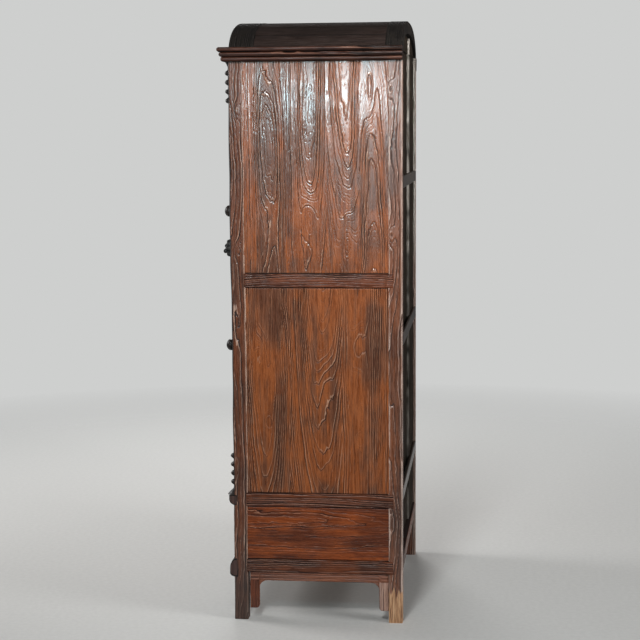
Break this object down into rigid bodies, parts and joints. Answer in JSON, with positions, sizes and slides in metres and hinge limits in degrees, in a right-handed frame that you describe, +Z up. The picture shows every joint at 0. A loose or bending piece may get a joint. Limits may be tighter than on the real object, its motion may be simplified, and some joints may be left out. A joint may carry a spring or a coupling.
{
  "type": "arched-top wooden cabinet",
  "caption": "Tall dark elm cabinet under a barrel roof, frame-and-panel sides, stacked doors on wooden pivots, a wide drawer, black turned trim and an iron drop pull.",
  "frame": {"origin": "bottom centre of the whole cabinet's box, on the floor", "axes": "+X to the right of someone facing the doors, +Y to the cabinet's back, +Z up; the doors and the drawer face -Y"},
  "size_m": [0.946, 0.5795, 1.931],
  "materials": {
    "frame_wood": "dark oiled elm, satin, worn at the edges",
    "panel_wood": "wire-brushed elm with strong figure, satin varnish",
    "roof_wood": "nearly black stained planks",
    "cornice_wood": "dark brown moulded wood, satin",
    "ebonised_wood": "black lacquered turned wood, glossy",
    "inner_wood": "bare inside wood",
    "back_wood": "rough dark back boards",
    "iron": "black worn iron"
  },
  "bodies": {
    "case": {"post_front_right": "frame_wood", "post_front_left": "frame_wood", "post_back_right": "frame_wood", "post_back_left": "frame_wood", "side_mid_rail_right": "frame_wood", "side_mid_rail_left": "frame_wood", "side_lower_rail_right": "frame_wood", "side_lower_rail_left": "frame_wood", "side_bottom_rail_right": "frame_wood", "side_bottom_rail_left": "frame_wood", "side_apron_right": "frame_wood", "side_apron_left": "frame_wood", "side_panel_upper_right": "panel_wood", "side_panel_upper_left": "panel_wood", "side_panel_middle_right": "panel_wood", "side_panel_middle_left": "panel_wood", "side_panel_lower_right": "panel_wood", "side_panel_lower_left": "panel_wood", "front_mid_rail": "frame_wood", "front_lower_rail": "frame_wood", "front_bottom_rail": "frame_wood", "front_apron": "frame_wood", "front_tympanum": "cornice_wood", "front_arch_rib": "roof_wood", "back_arch_gable": "roof_wood", "roof_shell": "roof_wood", "cornice_right": "cornice_wood", "cornice_left": "cornice_wood", "cornice_front": "cornice_wood", "split_column_right": "ebonised_wood", "split_column_left": "ebonised_wood", "waist_moulding": "ebonised_wood", "base_moulding": "ebonised_wood", "back_bottom_rail": "frame_wood", "back_batten_upper": "frame_wood", "back_batten_middle": "frame_wood", "back_batten_lower": "frame_wood", "back_board_right": "back_wood", "back_board_left": "back_wood", "mid_shelf": "inner_wood", "lower_floor": "inner_wood"},
    "upper_door": {"upper_door_hinge_stile": "frame_wood", "upper_door_free_stile": "frame_wood", "upper_door_top_rail": "frame_wood", "upper_door_bottom_rail": "frame_wood", "upper_door_panel": "panel_wood", "upper_door_knob": "ebonised_wood", "pendant_rosette": "iron"},
    "pendant": {"pendant_drop": "iron"},
    "lower_door": {"lower_door_hinge_stile": "frame_wood", "lower_door_free_stile": "frame_wood", "lower_door_top_rail": "frame_wood", "lower_door_bottom_rail": "frame_wood", "lower_door_panel": "panel_wood", "lower_door_knob": "ebonised_wood"},
    "drawer": {"drawer_front": "panel_wood", "drawer_box": "inner_wood", "drawer_bottom": "inner_wood", "drawer_knob_right": "ebonised_wood", "drawer_knob_left": "ebonised_wood"}
  },
  "joints": [
    {"name": "upper_door_swing", "type": "hinge", "parent": "case", "child": "upper_door", "pos_m": [-0.381, -0.23825, 1.4583], "axis": [0, 0, -1], "range_deg": [0, 95]},
    {"name": "lower_door_swing", "type": "hinge", "parent": "case", "child": "lower_door", "pos_m": [-0.381, -0.23825, 0.7513], "axis": [0, 0, -1], "range_deg": [0, 95]},
    {"name": "drawer_slide", "type": "slide", "parent": "case", "child": "drawer", "axis": [0, -1, 0], "range_m": [0, 0.36]},
    {"name": "pendant_swing", "type": "hinge", "parent": "upper_door", "child": "pendant", "pos_m": [0.3655, -0.27825, 1.21], "axis": [-1, 0, 0], "range_deg": [0, 75]}
  ]
}
